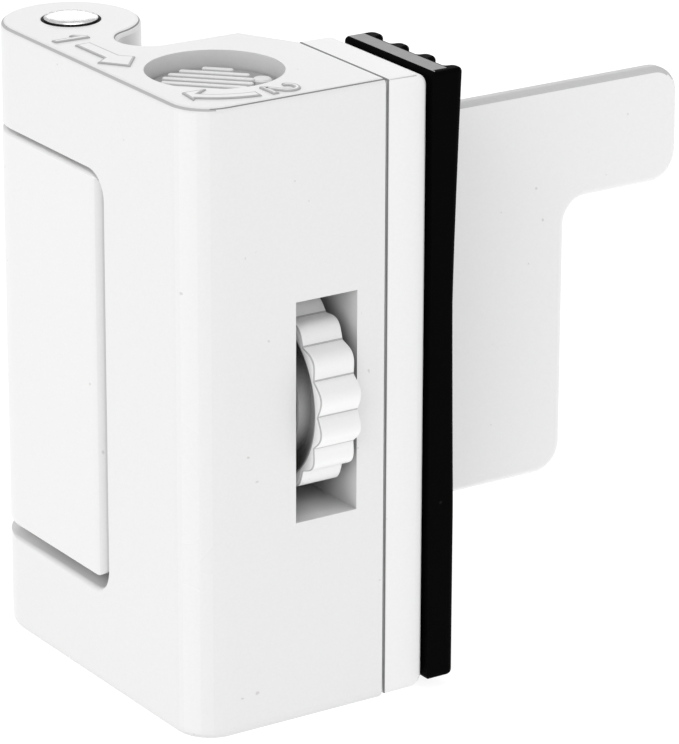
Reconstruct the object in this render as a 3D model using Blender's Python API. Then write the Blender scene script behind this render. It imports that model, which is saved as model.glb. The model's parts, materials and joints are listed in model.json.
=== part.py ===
"""Stair gate latch: swing lever, push button catch and thumbwheel clamp.

Frame: the origin is where the hinge pin's axis meets the bottom face. +X points to the
thumbwheel side, +Y towards the gate, +Z up along the hinge pin. Lengths below are in
millimetres and become metres in the meshes.
"""
import math

import bmesh
import bpy
from mathutils import Matrix, Vector

MM = 0.001

# Housing
HEIGHT = 80.0
BARREL_R = 8.7
FRONT_Y = -8.7
RIGHT_X = 42.8
REAR_Y = 18.2
LEFT_X = 15.65
CORNER_R = 5.0
NOTCH_R = 3.8
NOTCH_X, NOTCH_Y = 11.85, 3.98
CHAMFER_START = (15.9, 14.4)
CHAMFER_END = (23.1, 18.2)
BLOCK_LEFT_X = 23.2

# Hinge pin and its washers
PIN_R = 3.38
PIN_BOTTOM_Z = 3.2
PIN_RIM_Z = 80.1
PIN_TOP_Z = 80.5
PIN_HOLE_R = 3.77
PIN_SEAT_R = 3.5
PIN_SEAT_Z = 3.0
WASHER_INNER_R = 3.5
WASHER_R = 6.5
SET_SCREW_Z = 7.0
SET_SCREW_R = 1.5

# Swing lever and the pocket it folds into
POCKET_BOTTOM_Z = 12.7
POCKET_TOP_Z = 67.2
POCKET_RIGHT_X = 22.3
POCKET_BACK_Y = -3.4
POCKET_CORNER_R = 3.5
POCKET_BARREL_R = 9.3
LEVER_BOTTOM_Z = 14.3
LEVER_TOP_Z = 66.55
LEVER_R = 8.75
LEVER_RIGHT_X = 21.9
LEVER_BACK_Y = -3.8
LEVER_EDGE_R = 3.0
LEVER_CORNER_R = 3.3
LEVER_BORE_R = 3.48
STRIKER_Z = (58.0, 60.9)

# Button, its bore and the catch below it
BUTTON_X, BUTTON_Y = 28.5, 3.2
BUTTON_BORE_R = 8.46
BUTTON_BORE_Z = 72.2
BUTTON_R = 8.25
BUTTON_TOP_Z = 77.8
BUTTON_UNDER_Z = 74.9
STEM_R = 2.4
STEM_BOTTOM_Z = 60.0
STEM_BORE_R = 6.5
CHANNEL_Z = (57.6, 61.3)
SLIDER_Z = (57.9, 61.0)
SLIDER_Y = (-0.8, 7.2)
SLIDER_X = (21.3, 36.0)
CHANNEL_RIGHT_X = 40.4
WEDGE_GAP = 0.42
GUIDE_Z = (64.5, 67.3)
CLIP_Z = (63.6, 64.2)
BUTTON_SPRING_Z = (67.5, 74.7)
CATCH_SPRING_X = (33.3, 40.2)

# Thumbwheel, its window and the clamp screw
SLOT_X = 21.2
SLOT_Y = (5.54, 14.28)
SLOT_Z = (26.1, 54.3)
WHEEL_X, WHEEL_Z = 34.2, 40.2
WHEEL_R = 12.2
SCALLOPS = 16
SCALLOP_DEPTH = 1.15
RIM_Y = (6.9, 12.7)
HUB_Y = (6.15, 13.6)
HUB_R = 8.0
DISH_R = 10.0
NUT_R = 4.1
SCREW_R = 2.5
SCREW_FRONT_Y = -4.0
SCREW_HOLE_R = 2.8
SCREW_HEAD_Y = (21.3, 23.6)
BUSH_R = 4.1

# Pressure block, guide rods and rubber pad
BLOCK_Y = (18.5, 24.1)
BLOCK_Z = (0.5, 79.8)
BLOCK_CORNER_R = 1.5
ROD_R = 1.6
ROD_Y = (6.0, 22.5)
ROD_BUSH_Y = (10.3, 18.0)
UPPER_ROD = (38.8, 66.5)
LOWER_ROD = (28.5, 14.0)
PAD_X = (24.5, 43.6)
PAD_Y = (24.4, 27.2)
PAD_Z = (1.2, 79.9)
RIB_COUNT = 4
RIB_WIDTH = 2.0
RIB_TIP_Y = 28.6
RIB_TIP_WIDTH = 1.2

# Strap plate
STRAP_X = (15.4, 17.9)
STRAP_ROOT_Y = 4.6
STRAP_STEP_Y = 63.1
STRAP_END_Y = 81.0
STRAP_Z = (13.2, 66.1)
STRAP_STEP_Z = 50.4
STRAP_CORNER_R = 4.0
STRAP_LAND_Y = 29.8
STRAP_LAND_HEIGHT = 0.15
SEAT_X = 18.2
SEAT_Y = 4.2
STRAP_SCREW_Y = 10.0
STRAP_SCREW_ZS = (17.0, 23.0, 57.0, 63.0)

ROUND = 48
SMALL_ROUND = 24
SMOOTH_ANGLE = math.radians(35)


def clear_scene():
    for obj in list(bpy.data.objects):
        bpy.data.objects.remove(obj, do_unlink=True)


def material(name, color, roughness, metallic=0.0):
    mat = bpy.data.materials.new(name)
    mat.use_nodes = True
    shader = mat.node_tree.nodes["Principled BSDF"]
    shader.inputs["Base Color"].default_value = (*color, 1.0)
    shader.inputs["Roughness"].default_value = roughness
    shader.inputs["Metallic"].default_value = metallic
    return mat


def arc(centre_x, centre_y, radius, start_deg, end_deg, steps):
    """Points along a circular arc, both ends included."""
    points = []
    for i in range(steps + 1):
        angle = math.radians(start_deg + (end_deg - start_deg) * i / steps)
        points.append((centre_x + radius * math.cos(angle), centre_y + radius * math.sin(angle)))
    return points


def rounded_rectangle(low, high, radius, steps=5):
    """Outline of a rectangle with four round corners, counter-clockwise."""
    (x0, y0), (x1, y1) = low, high
    return (arc(x1 - radius, y0 + radius, radius, -90, 0, steps)
            + arc(x1 - radius, y1 - radius, radius, 0, 90, steps)
            + arc(x0 + radius, y1 - radius, radius, 90, 180, steps)
            + arc(x0 + radius, y0 + radius, radius, 180, 270, steps))


def place(axis):
    """Rotation that takes local (x, y, z) to the plane whose normal is the named axis."""
    if axis == "Z":
        return Matrix.Identity(4)
    if axis == "Y":
        return Matrix(((1, 0, 0, 0), (0, 0, 1, 0), (0, 1, 0, 0), (0, 0, 0, 1)))
    return Matrix(((0, 0, 1, 0), (1, 0, 0, 0), (0, 1, 0, 0), (0, 0, 0, 1)))


def finish(bm, name, mat, origin=(0.0, 0.0, 0.0)):
    """Turn a bmesh in millimetres into an object in metres with its origin on a chosen point."""
    bmesh.ops.recalc_face_normals(bm, faces=bm.faces)
    shift = Matrix.Translation(-Vector(origin))
    bmesh.ops.transform(bm, matrix=Matrix.Scale(MM, 4) @ shift, verts=bm.verts)
    mesh = bpy.data.meshes.new(name)
    bm.to_mesh(mesh)
    bm.free()
    if mat:
        mesh.materials.append(mat)
    obj = bpy.data.objects.new(name, mesh)
    obj.location = Vector(origin) * MM
    bpy.context.scene.collection.objects.link(obj)
    mesh.shade_smooth()
    mesh.set_sharp_from_angle(angle=SMOOTH_ANGLE)
    return obj


def extrude(outline, low, high, axis="Z"):
    """A prism: an outline in the plane across the axis, from low to high along it."""
    bm = bmesh.new()
    face = bm.faces.new([bm.verts.new((x, y, low)) for x, y in outline])
    out = bmesh.ops.extrude_face_region(bm, geom=[face])
    top = [v for v in out["geom"] if isinstance(v, bmesh.types.BMVert)]
    bmesh.ops.translate(bm, verts=top, vec=(0, 0, high - low))
    bmesh.ops.transform(bm, matrix=place(axis), verts=bm.verts)
    return bm


def lathe(profile, centre, axis="Z", steps=ROUND):
    """Turn a closed profile of (radius, height) points about the named axis."""
    bm = bmesh.new()
    verts = [bm.verts.new((r, 0, h)) for r, h in profile]
    edges = [bm.edges.new((verts[i], verts[(i + 1) % len(verts)])) for i in range(len(verts))]
    bmesh.ops.spin(bm, geom=verts + edges, cent=(0, 0, 0), axis=(0, 0, 1), dvec=(0, 0, 0),
                   angle=2 * math.pi, steps=steps, use_merge=True)
    bmesh.ops.remove_doubles(bm, verts=bm.verts, dist=1e-4)
    on_axis = [e for e in bm.edges if not e.link_faces]
    bmesh.ops.delete(bm, geom=on_axis, context="EDGES")
    bmesh.ops.transform(bm, matrix=Matrix.Translation(centre) @ place(axis), verts=bm.verts)
    return bm


def rod(radius, low, high, centre, axis="Z", steps=ROUND):
    return lathe([(0, low), (radius, low), (radius, high), (0, high)], centre, axis, steps)


def tube(inner, outer, low, high, centre, axis="Z", steps=ROUND):
    profile = [(inner, low), (outer, low), (outer, high), (inner, high)]
    return lathe(profile, centre, axis, steps)


def coil(radius, wire, low, high, turns, centre, axis="Z", per_turn=14, around=6):
    """A compression spring: a wire ring swept up a helix and capped at both ends."""
    bm = bmesh.new()
    rings = []
    count = turns * per_turn
    for i in range(count + 1):
        angle = 2 * math.pi * i / per_turn
        height = low + wire + (high - low - 2 * wire) * i / count
        ring = []
        for k in range(around):
            a = 2 * math.pi * k / around
            r = radius + wire * math.cos(a)
            ring.append(bm.verts.new((r * math.cos(angle), r * math.sin(angle),
                                      height + wire * math.sin(a))))
        rings.append(ring)
    for a, b in zip(rings, rings[1:]):
        for k in range(around):
            n = (k + 1) % around
            bm.faces.new((a[k], a[n], b[n], b[k]))
    bm.faces.new(rings[0])
    bm.faces.new(rings[-1])
    bmesh.ops.transform(bm, matrix=Matrix.Translation(centre) @ place(axis), verts=bm.verts)
    return bm


def boolean(obj, bm, operation="DIFFERENCE"):
    """Join or cut an object with a shape that isn't itself part of the model."""
    cutter = finish(bm, obj.name + ".cutter", None)
    cutter.hide_render = True
    cutter.display_type = "WIRE"
    step = obj.modifiers.new(operation.lower(), "BOOLEAN")
    step.operation = operation
    step.object = cutter


def box(low, high):
    (x0, y0, z0), (x1, y1, z1) = low, high
    return extrude([(x0, y0), (x1, y0), (x1, y1), (x0, y1)], z0, z1)


def housing_outline():
    """Top view of the body: barrel, concave notch, flat left side, chamfer and right side."""
    tangent = math.degrees(math.atan2(NOTCH_Y, NOTCH_X))
    corner_x, corner_y = RIGHT_X - CORNER_R, FRONT_Y + CORNER_R
    return (arc(corner_x, corner_y, CORNER_R, -90, 0, 8)
            + [(RIGHT_X, REAR_Y), CHAMFER_END, CHAMFER_START, (LEFT_X, CHAMFER_START[1] - 0.8)]
            + arc(NOTCH_X, NOTCH_Y, NOTCH_R, 0, tangent - 180, 10)
            + arc(0, 0, BARREL_R, tangent, 270, 26)[1:])


def make_housing(white):
    body = finish(extrude(housing_outline(), 0, HEIGHT), "housing", white)
    pocket = rounded_rectangle((-20, POCKET_BOTTOM_Z), (POCKET_RIGHT_X, POCKET_TOP_Z), POCKET_CORNER_R)
    boolean(body, extrude(pocket, FRONT_Y - 6, POCKET_BACK_Y, "Y"))
    boolean(body, rod(POCKET_BARREL_R, POCKET_BOTTOM_Z, POCKET_TOP_Z, (0, 0, 0)))
    boolean(body, box((SEAT_X - 12, SEAT_Y, STRAP_Z[0] - 0.3), (SEAT_X, REAR_Y + 5, STRAP_Z[1] + 0.3)))
    boolean(body, box((SLOT_X, SLOT_Y[0], SLOT_Z[0]), (RIGHT_X + 5, SLOT_Y[1], SLOT_Z[1])))

    button = (BUTTON_X, BUTTON_Y, 0)
    stepped = [(0, CHANNEL_Z[0]), (STEM_BORE_R, CHANNEL_Z[0]), (STEM_BORE_R, BUTTON_BORE_Z),
               (BUTTON_BORE_R, BUTTON_BORE_Z), (BUTTON_BORE_R, HEIGHT + 2), (0, HEIGHT + 2)]
    boolean(body, lathe(stepped, button, "Z", 64))
    boolean(body, box((SLIDER_X[0] - 0.8, SLIDER_Y[0] - 0.3, CHANNEL_Z[0]),
                      (CHANNEL_RIGHT_X, SLIDER_Y[1] + 0.3, CHANNEL_Z[1])))
    boolean(body, box((16.9, POCKET_BACK_Y - 1, CHANNEL_Z[0]), (21.7, 3.0, CHANNEL_Z[1])))

    screw = (WHEEL_X, 0, WHEEL_Z)
    boolean(body, rod(SCREW_HOLE_R, SCREW_FRONT_Y - 0.5, SLOT_Y[0] + 1, screw, "Y", SMALL_ROUND))
    boolean(body, rod(BUSH_R + 0.2, SLOT_Y[1] - 1, REAR_Y + 1, screw, "Y", 32))
    for x, z in (UPPER_ROD, LOWER_ROD):
        stepped = [(0, 4.5), (ROD_R + 0.4, 4.5), (ROD_R + 0.4, ROD_BUSH_Y[0] - 0.1),
                   (ROD_R + 1.1, ROD_BUSH_Y[0] - 0.1), (ROD_R + 1.1, REAR_Y + 1), (0, REAR_Y + 1)]
        boolean(body, lathe(stepped, (x, 0, z), "Y", SMALL_ROUND))

    boolean(body, rod(PIN_HOLE_R, POCKET_TOP_Z - 1, HEIGHT + 1, (0, 0, 0), "Z"))
    boolean(body, rod(PIN_SEAT_R, PIN_SEAT_Z, POCKET_BOTTOM_Z + 1, (0, 0, 0), "Z"))
    boolean(body, rod(SET_SCREW_R + 0.15, 0.5, BARREL_R + 1, (0, 0, SET_SCREW_Z), "Y", 16))
    for z in STRAP_SCREW_ZS:
        boolean(body, rod(1.35, SEAT_X - 0.5, 24.0, (0, STRAP_SCREW_Y, z), "X", 16))
    return body


def make_pin(steel):
    dome = [(PIN_R * math.cos(a), PIN_RIM_Z + (PIN_TOP_Z - PIN_RIM_Z) * math.sin(a))
            for a in (math.radians(d) for d in (20, 45, 70))]
    profile = [(0, PIN_BOTTOM_Z), (PIN_R, PIN_BOTTOM_Z), (PIN_R, PIN_RIM_Z)] + dome + [(0, PIN_TOP_Z)]
    finish(lathe(profile, (0, 0, 0)), "hinge_pin", steel)
    finish(rod(SET_SCREW_R, PIN_R + 0.3, BARREL_R - 0.4, (0, 0, SET_SCREW_Z), "Y", 16),
           "pin_set_screw", steel)


def make_washers(nylon):
    finish(tube(WASHER_INNER_R, WASHER_R, POCKET_BOTTOM_Z + 0.15, LEVER_BOTTOM_Z - 0.15, (0, 0, 0),
                steps=32), "lower_washer", nylon)
    finish(tube(WASHER_INNER_R, WASHER_R, LEVER_TOP_Z + 0.15, POCKET_TOP_Z - 0.15, (0, 0, 0),
                steps=32), "upper_washer", nylon)


def make_lever(white, steel):
    edge_x, edge_y = LEVER_RIGHT_X - LEVER_EDGE_R, -LEVER_R + LEVER_EDGE_R
    back = math.degrees(math.asin(LEVER_BACK_Y / LEVER_R))
    section = (arc(edge_x, edge_y, LEVER_EDGE_R, -90, 0, 6) + [(LEVER_RIGHT_X, LEVER_BACK_Y)]
               + arc(0, 0, LEVER_R, back, 270, 36))
    lever = finish(extrude(section, LEVER_BOTTOM_Z, LEVER_TOP_Z), "swing_lever", white)
    face = rounded_rectangle((-30, LEVER_BOTTOM_Z - 0.01), (LEVER_RIGHT_X + 0.01, LEVER_TOP_Z + 0.01),
                             LEVER_CORNER_R)
    boolean(lever, extrude(face, -20, 20, "Y"), "INTERSECT")
    boolean(lever, rod(LEVER_BORE_R, LEVER_BOTTOM_Z - 1, LEVER_TOP_Z + 1, (0, 0, 0)))
    low, high = STRIKER_Z
    boolean(lever, box((17.7, LEVER_BACK_Y - 1.5, low - 0.3), (20.3, LEVER_BACK_Y + 1, high + 0.3)))
    hook = [(18.0, -5.0), (20.0, -5.0), (20.0, -3.6), (19.3, -3.0), (19.3, 1.0), (20.8, 1.0),
            (20.8, 1.6), (19.6, 2.4), (18.0, 2.4)]
    finish(extrude(hook, low, high), "lever_striker", steel)


def make_button(white, steel, brass):
    centre = (BUTTON_X, BUTTON_Y, 0)
    profile = [(0, STEM_BOTTOM_Z), (STEM_R, STEM_BOTTOM_Z), (STEM_R, BUTTON_UNDER_Z),
               (BUTTON_R, BUTTON_UNDER_Z), (BUTTON_R, BUTTON_TOP_Z), (0, BUTTON_TOP_Z)]
    button = finish(lathe(profile, centre), "lock_button", white)
    right, low = BUTTON_X + STEM_R, STEM_BOTTOM_Z
    wedge = [(right - 2.6, low), (right + 1, low - 1), (right + 2, low + 4.6)]
    boolean(button, extrude(wedge, BUTTON_Y - 4, BUTTON_Y + 4, "Y"))

    finish(tube(STEM_R + 0.2, STEM_BORE_R - 0.2, *GUIDE_Z, centre), "button_guide", brass)
    finish(tube(STEM_R + 0.1, STEM_R + 1.5, *CLIP_Z, centre, steps=SMALL_ROUND), "button_clip", steel)
    finish(coil(4.2, 0.4, *BUTTON_SPRING_Z, 5, centre), "button_spring", steel)


def make_catch(steel):
    (x0, x1), (y0, y1), (z0, z1) = SLIDER_X, SLIDER_Y, SLIDER_Z
    nose = 2.3
    outline = [(x0, y0), (x1, y0), (x1, y1), (x0 + nose - 0.6, y1), (x0 + nose - 0.6, 0.7), (x0, 0.7)]
    slider = finish(extrude(outline, z0, z1), "catch_slider", steel)
    slant = BUTTON_X + STEM_R - 2.6 + WEDGE_GAP - STEM_BOTTOM_Z
    window = [(x0 + nose, z0 - 1), (slant + z0 - 1, z0 - 1), (slant + z1 + 1, z1 + 1),
              (x0 + nose, z1 + 1)]
    boolean(slider, extrude(window, BUTTON_Y - 2.8, BUTTON_Y + 2.8, "Y"))
    middle_z = (z0 + z1) / 2
    boolean(slider, rod(1.25, CATCH_SPRING_X[0] - 0.3, x1 + 1, (0, BUTTON_Y, middle_z), "X", 16))
    finish(coil(0.85, 0.2, *CATCH_SPRING_X, 7, (0, BUTTON_Y, middle_z), "X", 10, 5),
           "catch_spring", steel)


def scalloped_outline():
    """Rim of the thumbwheel: round lobes that meet in shallow grooves."""
    points = []
    per_lobe = 6
    for i in range(SCALLOPS * per_lobe):
        across = 2 * (i % per_lobe) / per_lobe - 1
        radius = WHEEL_R - SCALLOP_DEPTH * across ** 2
        angle = 2 * math.pi * i / (SCALLOPS * per_lobe)
        points.append((radius * math.cos(angle), radius * math.sin(angle)))
    return points


def make_wheel(white, brass, steel):
    axle = (WHEEL_X, 0, WHEEL_Z)
    rim = extrude(scalloped_outline(), *RIM_Y, "Y")
    bmesh.ops.translate(rim, verts=rim.verts, vec=axle)
    wheel = finish(rim, "thumbwheel", white, axle)
    boolean(wheel, tube(3.0, HUB_R, *HUB_Y, axle, "Y"), "UNION")
    boolean(wheel, tube(HUB_R, DISH_R, RIM_Y[0] - 1, RIM_Y[0] + 1.6, axle, "Y"))
    boolean(wheel, tube(HUB_R, DISH_R, RIM_Y[1] - 1.6, RIM_Y[1] + 1, axle, "Y"))
    boolean(wheel, rod(NUT_R + 0.15, HUB_Y[0] - 1, HUB_Y[1] + 1, axle, "Y", 32))
    nut = tube(SCREW_R + 0.15, NUT_R, HUB_Y[0] + 0.1, HUB_Y[1] - 0.1, axle, "Y", 32)
    finish(nut, "thumbwheel_nut", brass, axle)
    finish(tube(SCREW_HOLE_R, 6.3, SLOT_Y[0] + 0.1, HUB_Y[0] - 0.1, axle, "Y", 32),
           "thrust_washer_front", steel)
    finish(tube(SCREW_HOLE_R, 6.3, HUB_Y[1] + 0.1, SLOT_Y[1] - 0.1, axle, "Y", 32),
           "thrust_washer_rear", steel)
    finish(tube(SCREW_HOLE_R, BUSH_R, SLOT_Y[1] + 0.15, REAR_Y - 0.2, axle, "Y", 32),
           "screw_bush", brass)


def make_clamp(white, steel, brass, rubber):
    """The block that the screw pushes out, with its guide rods and its pad."""
    r = BLOCK_CORNER_R
    (front, rear), (low, high) = BLOCK_Y, BLOCK_Z
    side = ([(front, low)] + arc(rear - r, low + r, r, -90, 0, 4) + arc(rear - r, high - r, r, 0, 90, 4)
            + [(front, high)])
    block = finish(extrude(side, BLOCK_LEFT_X, RIGHT_X, "X"), "pressure_block", white)
    axle = (WHEEL_X, 0, WHEEL_Z)
    boolean(block, rod(SCREW_R + 0.2, BLOCK_Y[0] - 1, SCREW_HEAD_Y[0], axle, "Y", SMALL_ROUND))
    boolean(block, rod(4.5, SCREW_HEAD_Y[0] - 0.2, BLOCK_Y[1] + 1, axle, "Y", 6))

    screw = [(0, SCREW_FRONT_Y), (SCREW_R, SCREW_FRONT_Y), (SCREW_R, SCREW_HEAD_Y[0] + 1),
             (0, SCREW_HEAD_Y[0] + 1)]
    lead = finish(lathe(screw, axle, "Y", 32), "lead_screw", steel)
    boolean(lead, rod(4.2, *SCREW_HEAD_Y, axle, "Y", 6), "UNION")

    for name, (x, z) in (("upper", UPPER_ROD), ("lower", LOWER_ROD)):
        boolean(block, rod(ROD_R + 0.15, BLOCK_Y[0] - 1, ROD_Y[1] + 0.3, (x, 0, z), "Y", SMALL_ROUND))
        finish(rod(ROD_R, *ROD_Y, (x, 0, z), "Y", SMALL_ROUND), "guide_rod_" + name, steel)
        finish(tube(ROD_R + 0.1, ROD_R + 0.95, *ROD_BUSH_Y, (x, 0, z), "Y", SMALL_ROUND),
               "guide_bush_" + name, brass)

    pitch = (PAD_X[1] - PAD_X[0] - RIB_WIDTH) / (RIB_COUNT - 1)
    slope = (RIB_WIDTH - RIB_TIP_WIDTH) / 2
    comb = [(PAD_X[0], PAD_Y[0]), (PAD_X[1], PAD_Y[0])]
    for i in reversed(range(RIB_COUNT)):
        left = PAD_X[0] + i * pitch
        right = left + RIB_WIDTH
        comb += [(right, PAD_Y[1]), (right - slope, RIB_TIP_Y), (left + slope, RIB_TIP_Y),
                 (left, PAD_Y[1])]
    finish(extrude(comb, *PAD_Z), "rubber_pad", rubber)


def strap_outline():
    """Flag shape in the YZ plane: a deep root and a long arm along the top."""
    r = STRAP_CORNER_R
    low, high = STRAP_Z
    return (arc(STRAP_STEP_Y - r, low + r, r, -90, 0, 6)
            + arc(STRAP_STEP_Y + 3.4, STRAP_STEP_Z - 3.4, 3.4, 180, 90, 6)
            + arc(STRAP_END_Y - r, STRAP_STEP_Z + r, r, -90, 0, 6)
            + arc(STRAP_END_Y - r, high - r, r, 0, 90, 6)
            + arc(STRAP_ROOT_Y + 1, high - 1, 1.0, 90, 180, 3)
            + arc(STRAP_ROOT_Y + 1, low + 1, 1.0, 180, 270, 3))


def make_strap(white, steel):
    """The plate beside the gate, with a contact land that stands just proud of its root."""
    strap = finish(extrude(strap_outline(), *STRAP_X, "X"), "strap_plate", white)
    outer, inner = STRAP_X
    boolean(strap, box((inner - STRAP_LAND_HEIGHT, 0, 0), (inner + 1, STRAP_LAND_Y, HEIGHT)))
    for i, z in enumerate(STRAP_SCREW_ZS):
        centre = (0, STRAP_SCREW_Y, z)
        sink = [(0, outer - 1), (3.1, outer - 1), (3.1, outer), (1.6, outer + 1.5),
                (1.6, inner + 1), (0, inner + 1)]
        boolean(strap, lathe(sink, centre, "X", 20))
        head = [(0, outer + 0.1), (2.7, outer + 0.1), (1.2, outer + 1.6), (1.2, 23.6), (0, 23.6)]
        finish(lathe(head, centre, "X", 20), "strap_screw_" + str(i + 1), steel)


def main():
    clear_scene()
    white = material("white_coat", (0.86, 0.86, 0.855), 0.28)
    white_plastic = material("white_plastic", (0.84, 0.84, 0.835), 0.32)
    steel = material("steel", (0.62, 0.62, 0.63), 0.25, 1.0)
    brass = material("brass", (0.78, 0.60, 0.30), 0.3, 1.0)
    nylon = material("nylon", (0.80, 0.80, 0.77), 0.5)
    rubber = material("rubber", (0.012, 0.012, 0.012), 0.4)
    make_housing(white)
    make_pin(steel)
    make_washers(nylon)
    make_lever(white, steel)
    make_button(white_plastic, steel, brass)
    make_catch(steel)
    make_wheel(white_plastic, brass, steel)
    make_clamp(white, steel, brass, rubber)
    make_strap(white, steel)


main()
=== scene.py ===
"""Looks of the stair gate latch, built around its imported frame.

The frame is in metres. The sizes below are in millimetres, in the frame's own axes: the origin is
where the hinge pin's axis meets the bottom, +X the thumbwheel's side, +Y towards the gate, +Z up.
"""

import json
import math

import bmesh
import bpy
from mathutils import Matrix, Vector


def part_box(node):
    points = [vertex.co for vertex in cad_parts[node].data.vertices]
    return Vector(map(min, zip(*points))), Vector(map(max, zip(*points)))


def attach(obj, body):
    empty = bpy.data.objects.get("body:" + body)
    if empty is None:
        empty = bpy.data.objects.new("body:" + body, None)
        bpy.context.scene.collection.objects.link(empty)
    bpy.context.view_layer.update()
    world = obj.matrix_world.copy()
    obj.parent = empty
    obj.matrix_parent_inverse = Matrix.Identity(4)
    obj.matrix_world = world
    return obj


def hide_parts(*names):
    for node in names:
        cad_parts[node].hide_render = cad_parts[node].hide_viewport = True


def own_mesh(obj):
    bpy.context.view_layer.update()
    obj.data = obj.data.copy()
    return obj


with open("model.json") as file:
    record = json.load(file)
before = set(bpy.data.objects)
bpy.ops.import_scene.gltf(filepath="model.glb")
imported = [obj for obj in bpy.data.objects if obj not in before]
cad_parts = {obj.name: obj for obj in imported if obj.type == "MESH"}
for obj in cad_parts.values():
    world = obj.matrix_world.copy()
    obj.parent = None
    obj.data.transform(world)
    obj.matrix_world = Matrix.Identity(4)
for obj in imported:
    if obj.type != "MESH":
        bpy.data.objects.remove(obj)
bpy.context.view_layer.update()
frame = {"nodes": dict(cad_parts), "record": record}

MM = 0.001
MERGE_DISTANCE = 4e-6
SHARP_ANGLE = 40
FILLET_STEPS = 6


def cad_box(node):
    """Lowest and highest corner of a CAD node, in millimetres."""
    low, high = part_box(node)
    return low / MM, high / MM


HOUSING_LOW, HOUSING_HIGH = cad_box("housing")
LEVER_LOW, LEVER_HIGH = cad_box("swing_lever")
BUTTON_LOW, BUTTON_HIGH = cad_box("lock_button")
PIN_LOW, PIN_HIGH = cad_box("hinge_pin")
WHEEL_LOW, WHEEL_HIGH = cad_box("thumbwheel")
BLOCK_LOW, BLOCK_HIGH = cad_box("pressure_block")
PAD_LOW, PAD_HIGH = cad_box("rubber_pad")
STRAP_LOW, STRAP_HIGH = cad_box("strap_plate")
LEAD_LOW, LEAD_HIGH = cad_box("lead_screw")

TOP = HOUSING_HIGH.z
REAR = HOUSING_HIGH.y
BARREL_R = -HOUSING_LOW.y
CORNER_R = 5.0
TOP_FILLET = 0.75
BOTTOM_FILLET = 1.0
LEFT_X = 15.65
NOTCH_R = 3.8
NOTCH_X, NOTCH_Y = 11.85, 3.98
CHAMFER_START = (15.9, 14.4)
CHAMFER_END = (23.1, REAR)
MARK_HEIGHT = 0.2

POCKET_Z = (12.7, 67.2)
POCKET_RIGHT_X = 22.3
POCKET_BACK_Y = -3.4
POCKET_CORNER_R = 3.5
POCKET_BARREL_R = 9.3
LEVER_CORNER_R = 3.4
LEVER_BORE_R = 3.48
WINDOW_X = 21.2
WINDOW_Y = (5.54, 14.28)
WINDOW_Z = (26.1, 54.3)
STRAP_SEAT_LOW = (6.2, 4.2, 12.9)
STRAP_SEAT_HIGH = (18.2, REAR + 5, 66.4)
STRAP_SCREW_Y = 10.0
STRAP_SCREW_Z = (17.0, 23.0, 57.0, 63.0)
STRAP_LAND_Y = 29.8
STRAP_LAND_HEIGHT = 0.15
CATCH_Z = (57.6, 61.3)

BUTTON_X = (BUTTON_LOW.x + BUTTON_HIGH.x) / 2
BUTTON_Y = (BUTTON_LOW.y + BUTTON_HIGH.y) / 2
BUTTON_UNDER_Z = 74.9
RECESS_R = 8.46
RECESS_LOW_Z = 72.2
PIN_HOLE_R = 3.77
# The middle width rounds rims whose faces carry the dark painted edge shade.
SOFT_BEVEL, EDGE_SHADE_BEVEL, WINDOW_BEVEL = 0.22, 0.15, 0.08
WHEEL_X = (LEAD_LOW.x + LEAD_HIGH.x) / 2
WHEEL_Z = (WHEEL_LOW.z + WHEEL_HIGH.z) / 2
WHEEL_AXLE = (WHEEL_X, 0, WHEEL_Z)
GUIDE_RODS = ("guide_rod_upper", "guide_rod_lower")

CAMERA_AZIMUTH = math.radians(56.684)
CAMERA_ELEVATION = math.radians(19.846)
CAMERA_ROLL = math.radians(0.198)
CAMERA_PLACE = (0.48167, -0.27671, 0.23389)
CAMERA_LENS = 224.8


# ---------------------------------------------------------------- outlines

def arc(x, y, radius, start_deg, end_deg, steps):
    """Points along a circular arc, both ends included."""
    angles = [math.radians(start_deg + (end_deg - start_deg) * i / steps) for i in range(steps + 1)]
    return [(x + radius * math.cos(a), y + radius * math.sin(a)) for a in angles]


def rounded(corners, steps=8):
    """An outline from (x, y, radius) corners, with an arc at each corner that has a radius."""
    points = []
    for i, (x, y, radius) in enumerate(corners):
        here = Vector((x, y))
        if not radius:
            points.append((x, y))
            continue
        back = (Vector(corners[i - 1][:2]) - here).normalized()
        on = (Vector(corners[(i + 1) % len(corners)][:2]) - here).normalized()
        half = back.angle(on) / 2
        centre = here + (back + on).normalized() * radius / math.sin(half)
        start = here + back * radius / math.tan(half) - centre
        end = here + on * radius / math.tan(half) - centre
        turn = start.angle_signed(end)
        for k in range(steps + 1):
            spoke = start.copy()
            spoke.rotate(Matrix.Rotation(-turn * k / steps, 2))
            points.append(tuple(centre + spoke))
    return points


def rectangle(low, high, radius=0.0, steps=8):
    (x0, y0), (x1, y1) = low, high
    return rounded([(x0, y0, radius), (x1, y0, radius), (x1, y1, radius), (x0, y1, radius)], steps)


def edges(outline):
    """The outline's edges as pairs of points, in order."""
    return list(zip(outline, outline[1:] + outline[:1]))


def inset(outline, distance, share=None):
    """Moves every edge of a counter-clockwise outline inwards; share scales that for each edge."""
    count = len(outline)
    share = share or [1.0] * count
    normals = [Vector((y0 - y1, x1 - x0)).normalized() for (x0, y0), (x1, y1) in edges(outline)]
    moved = []
    for i in range(count):
        a, b = normals[i - 1], normals[i]
        da, db = distance * share[i - 1], distance * share[i]
        cross = a.x * b.y - a.y * b.x
        if abs(cross) < 0.35:
            step = (a + b).normalized() * (da + db) / 2
        else:
            step = Vector((da * b.y - db * a.y, db * a.x - da * b.x)) / cross
        moved.append((outline[i][0] + step.x, outline[i][1] + step.y))
    return moved


def quarter_turn(steps):
    """Evenly spaced angles from 0 to 90 degrees, in radians."""
    return [math.radians(90 * i / steps) for i in range(steps + 1)]


# ---------------------------------------------------------------- meshes

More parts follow.
